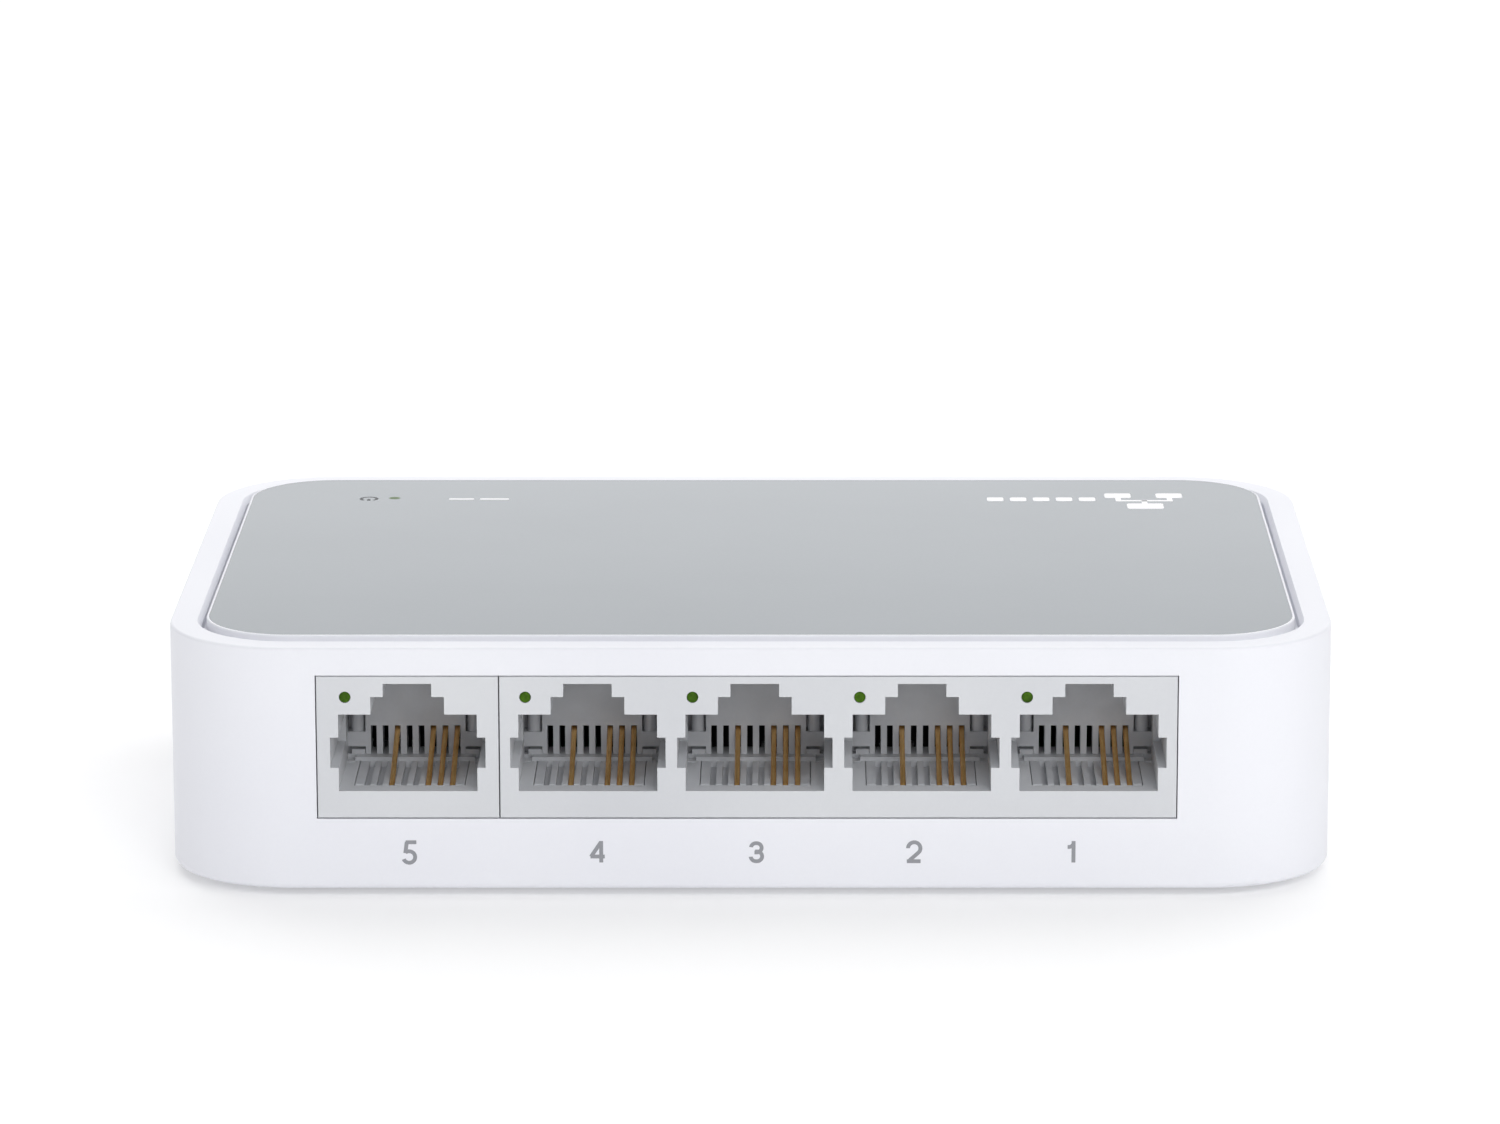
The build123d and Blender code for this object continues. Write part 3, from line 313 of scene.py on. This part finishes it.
def close_round(bm, faces, along, radius):
    """Ends a round wire in a dome that keeps a small flat at its tip."""
    middle = faces[0].calc_center_median()
    width = 1.0
    reach = 0.0
    for step in range(1, DOME_STEPS + 1):
        angle = math.pi / 2 * step / (DOME_STEPS + DOME_FLAT)
        faces = pull(bm, faces, along * radius * (math.sin(angle) - reach))
        reach = math.sin(angle)
        verts = list({vert for face in faces for vert in face.verts})
        new_width = math.cos(angle)
        centre = middle + along * radius * reach
        bmesh.ops.scale(bm, verts=verts, vec=(new_width / width,) * 3, space=Matrix.Translation(-centre))
        width = new_width


def slab(bm, x, y, low, high, corner=0.0):
    """A flat block between two heights, its upright corners rounded."""
    size = (x[1] - x[0], y[1] - y[0], high - low)
    middle = Vector(((x[0] + x[1]) / 2, (y[0] + y[1]) / 2, (low + high) / 2))
    shape = Matrix.Translation(middle) @ Matrix.Diagonal((*size, 1))
    made = bmesh.ops.create_cube(bm, size=1.0, matrix=shape)
    if corner:
        edges = {edge for vert in made["verts"] for edge in vert.link_edges}
        upright = [e for e in edges if abs(e.verts[0].co.z - e.verts[1].co.z) > size[2] / 2]
        bmesh.ops.bevel(bm, geom=upright, offset=corner, offset_type="OFFSET", affect="EDGES",
                        segments=4, profile=0.5, material=-1)


def turned(bm, centre, radius, height, outline, steps):
    """Spins an outline, given as shares of a radius and a height, round the upright line through a centre."""
    verts = [bm.verts.new((centre.x + radius * across, centre.y, centre.z + height * up))
             for across, up in outline]
    edges = [bm.edges.new(pair) for pair in zip(verts, verts[1:])]
    bmesh.ops.spin(bm, geom=verts + edges, cent=centre, axis=Z_AXIS, angle=2 * math.pi, steps=steps,
                   use_merge=True)


# ------------------------------------------------------------ contact wires
WIRE_R = 0.23 * MM
BEND_R = 0.63 * MM
TAIL_BEND_R = 0.5 * MM
REST_DEGREES = 17.5
SLOT_PITCH = 1.02 * MM
MIDDLE_SLOT = 3.5
FILLED_SLOTS = (2, 5, 6, 7)
SHORT_TAIL = 2.2 * MM
WIRE_SIDES = 14
TAIL_BEND_STEPS = 6
FRONT_BEND_STEPS = 16
ANCHORS = {joint["child"]: Vector(joint["pos_m"]) for joint in frame["joints"]}


def contact_wires(number, material):
    """The four gold wires of a port: tails down through the board, a bend at the front, and sprung tips."""
    body = f"port_{number}_contacts"
    bend = ANCHORS[body]
    carrier_low, carrier_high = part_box(f"contact_carrier_{number}")
    spring_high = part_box(f"contact_springs_{number}")[1]
    tail_low, tail_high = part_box(f"contact_tails_{number}")
    centre_x = (carrier_low.x + carrier_high.x) / 2
    slope = Vector((0, math.cos(math.radians(REST_DEGREES)), math.sin(math.radians(REST_DEGREES))))
    run_z = bend.z - BEND_R
    bm = bmesh.new()
    for slot in FILLED_SLOTS:
        x = centre_x + (slot - MIDDLE_SLOT) * SLOT_PITCH
        tail_y = tail_high.y - WIRE_R - (SHORT_TAIL if slot % 2 else 0)
        foot = Matrix.Translation((x, tail_y, tail_low.z))
        ring = bmesh.ops.create_circle(bm, cap_ends=True, radius=WIRE_R, segments=WIRE_SIDES, matrix=foot)
        faces = list(ring["verts"][0].link_faces)
        faces = pull(bm, faces, Z_AXIS * (run_z - TAIL_BEND_R - tail_low.z))
        corner = Vector((x, tail_y - TAIL_BEND_R, run_z - TAIL_BEND_R))
        faces = turn(bm, faces, corner, X_AXIS, 90, TAIL_BEND_STEPS)
        faces = pull(bm, faces, -Y_AXIS * (tail_y - TAIL_BEND_R - bend.y))
        faces = turn(bm, faces, Vector((x, bend.y, bend.z)), X_AXIS, REST_DEGREES - 180, FRONT_BEND_STEPS)
        leave_y = bend.y - BEND_R * slope.z
        reach = (spring_high.y - WIRE_R - leave_y) / slope.y
        faces = pull(bm, faces, slope * reach)
        close_round(bm, faces, slope, WIRE_R)
    piece = to_piece(f"contact_wires_{number}", bm, material, body=None, sharp=60)
    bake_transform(piece)
    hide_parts(f"contact_springs_{number}", f"contact_tails_{number}")


# ------------------------------------------------------------ print
INK_T = 0.01 * MM
ARC_STEP_DEGREES = 12
# digits: stroke width, height of their foot and middle of each, in millimetres on the port face
DIGIT_W = 0.33
DIGIT_LOW_Z = 3.12
DIGIT_X = {5: -28.5, 4: -12.8, 3: 0.55, 2: 13.75, 1: 27.0}
# each stroke: start (x, height) in millimetres from the digit's foot, heading in degrees, then its moves
DIGIT_STROKES = {
    1: [((0.14, 0.0), 90, [("go", 1.87)]),
        ((-0.36, 1.35), 0, [("go", 0.1), ("left", 0.42, 78)])],
    2: [((-0.5, 1.24), 90, [("right", 0.52, 228), ("go", 1.0)]),
        ((-0.6, 0.11), 0, [("go", 1.16)])],
    3: [((-0.48, 1.33), 80, [("right", 0.42, 80), ("go", 0.08), ("right", 0.4, 180), ("go", 0.2)]),
        ((-0.14, 0.96), 0, [("go", 0.17), ("right", 0.425, 180), ("go", 0.1), ("right", 0.43, 85)])],
    4: [((0.3, 0.0), 90, [("go", 1.87)]),
        ((-0.6, 0.52), 0, [("go", 1.2)]),
        ((-0.56, 0.5), 56.5, [("go", 1.5)])],
    5: [((-0.4, 1.76), 0, [("go", 0.9)]),
        ((-0.3, 1.8), 262, [("go", 1.0)]),
        ((-0.44, 0.86), 40, [("right", 0.5, 288)])],
}


def pen(bm, place, heading, moves, thickness):
    """Draws a flat stroke on the port face: straight runs and left or right arcs, in millimetres."""
    at = Vector((place[0], 0, place[1])) * MM + Y_AXIS * FACE_Y
    ahead = Vector((math.cos(math.radians(heading)), 0, math.sin(math.radians(heading))))
    tip_shape = Matrix((ahead.cross(Y_AXIS) * DIGIT_W * MM, Y_AXIS * thickness, ahead)).transposed().to_4x4()
    tip = bmesh.ops.create_grid(bm, x_segments=1, y_segments=1, size=0.5,
                                matrix=Matrix.Translation(at) @ tip_shape)
    faces = list(tip["verts"][0].link_faces)
    for move, amount, *degrees in moves:
        if move == "go":
            faces = pull(bm, faces, ahead * amount * MM)
            at = at + ahead * amount * MM
            continue
        angle = degrees[0] if move == "right" else -degrees[0]
        side = ahead.cross(Y_AXIS) * (1 if move == "right" else -1)
        centre = at - side * amount * MM
        faces = turn(bm, faces, centre, Y_AXIS, angle, max(3, degrees[0] // ARC_STEP_DEGREES))
        spun = Matrix.Rotation(math.radians(angle), 3, "Y")
        at = centre + spun @ (at - centre)
        ahead = spun @ ahead


def port_number(number, material):
    """One printed digit on the port face."""
    bm = bmesh.new()
    # each stroke is a little thicker than the last, so that no two of their faces share a plane
    for order, ((across, up), heading, moves) in enumerate(DIGIT_STROKES[number]):
        place = (DIGIT_X[number] + across, DIGIT_LOW_Z + up)
        pen(bm, place, heading, moves, INK_T * (1 + 0.5 * order))
    to_piece(f"port_number_{number}", bm, material)


def film_ink(bm, x, y, corner=0.0):
    """A patch of ink on the top film, sizes in millimetres."""
    top = FILM_TOP + INK_T
    slab(bm, [v * MM for v in x], [v * MM for v in y], FILM_TOP - INK_T / 2, top, corner * MM)


# power sign: middle, ring radius and line width in millimetres; the ring's sweep in degrees and its steps
POWER_ICON = (-35.32, 22.17)
ICON_R = 0.72
ICON_LINE = 0.3
ICON_SWEEP = 290
ICON_STEPS = 36


def power_icon(material):
    """The standard power sign beside the light: an open ring with a bar in the gap."""
    bm = bmesh.new()
    centre = Vector((POWER_ICON[0] * MM, POWER_ICON[1] * MM, FILM_TOP - INK_T / 2))
    # the sign reads from the back of the case, so its bar points towards the port face
    side = Matrix.Translation(centre + Y_AXIS * ICON_R * MM) @ Matrix.Rotation(math.radians(90), 4, "Y")
    ring = bmesh.ops.create_grid(bm, x_segments=1, y_segments=1, size=ICON_LINE * MM / 2, matrix=side)
    bmesh.ops.scale(bm, verts=ring["verts"], vec=(1, 1, INK_T * 1.5 / (ICON_LINE * MM)),
                    space=Matrix.Translation(-centre))
    bmesh.ops.rotate(bm, verts=ring["verts"], cent=centre,
                     matrix=Matrix.Rotation(math.radians(-ICON_SWEEP / 2), 3, "Z"))
    turn(bm, list(bm.faces), centre, Z_AXIS, ICON_SWEEP, ICON_STEPS)
    film_ink(bm, (POWER_ICON[0] - ICON_LINE / 2, POWER_ICON[0] + ICON_LINE / 2),
             (POWER_ICON[1] - 1.05 * ICON_R, POWER_ICON[1] - 0.1), 0.08)
    to_piece("power_icon", bm, material)


WINDOW_R = 0.52 * MM
WINDOW_RISE = 1.5 * INK_T
WINDOW_OUTLINE = [(0, 1), (0.7, 0.95), (0.94, 0.7), (1, 0.3), (1, 0), (0, 0)]


def power_window(material):
    """The tinted window in the film over the power light: a shallow drop, a little wider than the pipe."""
    low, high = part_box("power_light_pipe")
    centre = Vector(((low.x + high.x) / 2, (low.y + high.y) / 2, FILM_TOP - INK_T / 2))
    bm = bmesh.new()
    turned(bm, centre, WINDOW_R, WINDOW_RISE, WINDOW_OUTLINE, 32)
    to_piece("power_window", bm, material)


# marks on the film in millimetres: (left, right), (front, back); they read from the back of the case
MARK_CORNER = 0.3
TREE_BOXES = (((33.9, 37.2), (18.0, 20.2)), ((32.0, 34.4), (22.5, 24.4)), ((36.7, 39.1), (22.5, 24.4)))
TREE_LINES = (((35.3, 35.8), (20.2, 21.4)), ((32.95, 38.15), (21.1, 21.6)),
              ((32.95, 33.45), (21.6, 22.5)), ((37.65, 38.15), (21.6, 22.5)))
SOCKET_MARKS = 5
SOCKET_MARK_LEFT, SOCKET_MARK_PITCH, SOCKET_MARK_W = 21.2, 2.1, 1.5
SOCKET_MARK_Y = (21.2, 22.7)
SOCKET_MARK_CORNER = 0.25
DASHES = ((-28.0, -25.7), (-25.2, -22.5))
DASH_Y = (21.8, 22.3)
DASH_CORNER = 0.2


def top_marks(material):
    """Generic white marks on the film: a small network tree, a row of five sockets, and two plain dashes."""
    bm = bmesh.new()
    for across, along in TREE_BOXES:
        film_ink(bm, across, along, MARK_CORNER)
    for across, along in TREE_LINES:
        film_ink(bm, across, along)
    for step in range(SOCKET_MARKS):
        left = SOCKET_MARK_LEFT + SOCKET_MARK_PITCH * step
        film_ink(bm, (left, left + SOCKET_MARK_W), SOCKET_MARK_Y, SOCKET_MARK_CORNER)
    for across in DASHES:
        film_ink(bm, across, DASH_Y, DASH_CORNER)
    to_piece("top_marks", bm, material)


# ------------------------------------------------------------ underside
# the foot's section as shares of its radius and height: dished tread, soft edge, straight side
FOOT_OUTLINE = [(0, 0.18), (0.55, 0.18), (0.68, 0.02), (0.74, 0), (0.90, 0), (0.96, 0.03), (0.99, 0.10),
                (1.0, 0.22), (1.0, 0.97), (0.985, 1.0), (0, 1.0)]
FOOT_STEPS = 64


def rubber_foot(name, material):
    """A stick-on foot: a turned pad with a soft edge and a shallow dish in its tread."""
    low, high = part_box(name)
    centre = Vector(((low.x + high.x) / 2, (low.y + high.y) / 2, low.z))
    bm = bmesh.new()
    turned(bm, centre, (high.x - low.x) / 2, high.z - low.z, FOOT_OUTLINE, FOOT_STEPS)
    piece = to_piece(f"rubber_{name}", bm, material, sharp=50)
    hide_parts(name)


LABEL_INSET = 1.2 * MM
LABEL_LINE = 0.18 * MM
LABEL_ROWS = 6
ROW_PITCH = 2.6 * MM
ROW_START = 1.8 * MM
ROW_HEIGHT = 0.5 * MM
ROW_LENGTH = 30.0
ROW_SHORTER = 3.5
BOX_NEAR, BOX_FAR = 2 * MM, 12 * MM
BOX_FRONT, BOX_BACK = 3 * MM, 13 * MM


def label_print(material):
    """Blank rating label: a frame line, ruled rows and a plain box, with no words."""
    low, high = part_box("rating_label")
    bm = bmesh.new()
    under = low.z - INK_T / 2
    over = low.z + INK_T / 2
    left, right = low.x + LABEL_INSET, high.x - LABEL_INSET
    front, back = low.y + LABEL_INSET, high.y - LABEL_INSET
    slab(bm, (left, right), (front, front + LABEL_LINE), under, over)
    slab(bm, (left, right), (back - LABEL_LINE, back), under, over)
    slab(bm, (left, left + LABEL_LINE), (front + LABEL_LINE, back - LABEL_LINE), under, over)
    slab(bm, (right - LABEL_LINE, right), (front + LABEL_LINE, back - LABEL_LINE), under, over)
    for row in range(LABEL_ROWS):
        at = front + ROW_PITCH * (1 + row)
        end = left + (ROW_LENGTH - ROW_SHORTER * (row % 3)) * MM
        slab(bm, (left + ROW_START, end), (at, at + ROW_HEIGHT), under, over, 0.2 * MM)
    slab(bm, (right - BOX_FAR, right - BOX_NEAR), (front + BOX_FRONT, front + BOX_BACK),
         under, over, 0.8 * MM)
    to_piece("label_print", bm, material)


# ------------------------------------------------------------ set
FLOOR_HALF = 3.0
# name, place, aim, size in metres, and power in watts
LAMPS = (
    ("overhead_lamp", (0.0, 0.6, 0.75), (0, 0.15, 0), (1.4, 1.1), 7.9),
    ("front_lamp", (0.15, -0.64, 0.36), (0, 0, 0.01), (0.45, 0.4), 2.15),
    ("right_lamp", (0.4, -0.3, 0.3), (0, 0, 0.01), (0.25, 0.25), 0.5),
    ("left_lamp", (-0.5, -0.12, 0.2), (0, 0, 0.01), (0.3, 0.3), 0.42),
    ("back_card", (0.0, 0.17, 0.05), (0, 0.02, 0.02), (0.5, 0.06), 0.1),
)


def floor_and_light():
    """A plain white floor, a white room, and soft lamps, the stronger one on the right."""
    bm = bmesh.new()
    bmesh.ops.create_grid(bm, x_segments=1, y_segments=1, size=FLOOR_HALF)
    mesh = bpy.data.meshes.new("floor")
    bm.to_mesh(mesh)
    bm.free()
    floor = bpy.data.objects.new("floor", mesh)
    bpy.context.scene.collection.objects.link(floor)
    # seamless backdrop paper: plain and matt, with the slightest cloud of its fibres
    material, tree, place = start("white_paper")
    fibre = add(tree, "ShaderNodeTexNoise", inputs={"Vector": place, "Scale": per_mm(40.0)})
    tint = add(tree, "ShaderNodeMix", {"data_type": "RGBA"},
               {0: fibre.outputs["Fac"], 6: rgb("#EBEBEB"), 7: rgb("#EEEEEE")})
    mesh.materials.append(finish(material, tree, {
        "Base Color": tint.outputs[2], "Roughness": 0.9, "Specular IOR Level": 0.1,
        "Emission Color": rgb("#FFFFFF"), "Emission Strength": 0.21}))

    world = bpy.data.worlds.new("white_room")
    world.use_nodes = True
    backdrop = world.node_tree.nodes["Background"]
    backdrop.inputs["Color"].default_value = rgb("#FCFCFF")
    backdrop.inputs["Strength"].default_value = 0.28
    bpy.context.scene.world = world

    for name, place, aim, size, power in LAMPS:
        light = bpy.data.lights.new(name, "AREA")
        light.shape = "RECTANGLE"
        light.size, light.size_y = size
        light.energy = power
        lamp = bpy.data.objects.new(name, light)
        lamp.location = place
        lamp.rotation_euler = (Vector(aim) - Vector(place)).to_track_quat("-Z", "Y").to_euler()
        lamp.visible_camera = False
        bpy.context.scene.collection.objects.link(lamp)


CAMERA_AT = (5.139 * MM, -568.448 * MM, 153.929 * MM)
CAMERA_DOWN_DEGREES = 13.14
LENS_MM = 158.74
SENSOR_MM = 36
SHIFT_X = -0.0409


def camera():
    """A long lens, a little above the top, square to the port face."""
    data = bpy.data.cameras.new("camera")
    data.sensor_width = SENSOR_MM
    data.lens = LENS_MM
    data.shift_x = SHIFT_X
    holder = bpy.data.objects.new("camera", data)
    holder.location = CAMERA_AT
    holder.rotation_euler = (math.radians(90 - CAMERA_DOWN_DEGREES), 0, 0)
    bpy.context.scene.collection.objects.link(holder)
    bpy.context.scene.camera = holder


camera()
FINISHES = make_finishes()
for node in frame["nodes"].values():
    for place in node.material_slots:
        place.material = FINISHES[place.material.name]

# port numbers: soft mid grey on the white case
GREY_INK = screen_ink("grey_screen_ink", "#96979C", "#8A8C91")
# power sign: dark grey, clear against the silver film
DARK_INK = screen_ink("dark_grey_screen_ink", "#3A3E42", "#303438")
# marks on the film: flat opaque white
WHITE_INK = screen_ink("white_screen_ink", "#FFFFFF", "#F4F4F6")
# label rules: near black on white
BLACK_INK = screen_ink("black_screen_ink", "#2E2E30", "#232325")
for port in PORTS:
    contact_wires(port, FINISHES["contact_gold"])
    port_number(port, GREY_INK)
power_icon(DARK_INK)
power_window(FINISHES["light_pipe_green"])
top_marks(WHITE_INK)
for foot in ("foot_front_left", "foot_front_right", "foot_back_left", "foot_back_right"):
    rubber_foot(foot, FINISHES["foot_rubber"])
label_print(BLACK_INK)
floor_and_light()
bpy.context.scene.view_settings.view_transform = "Standard"
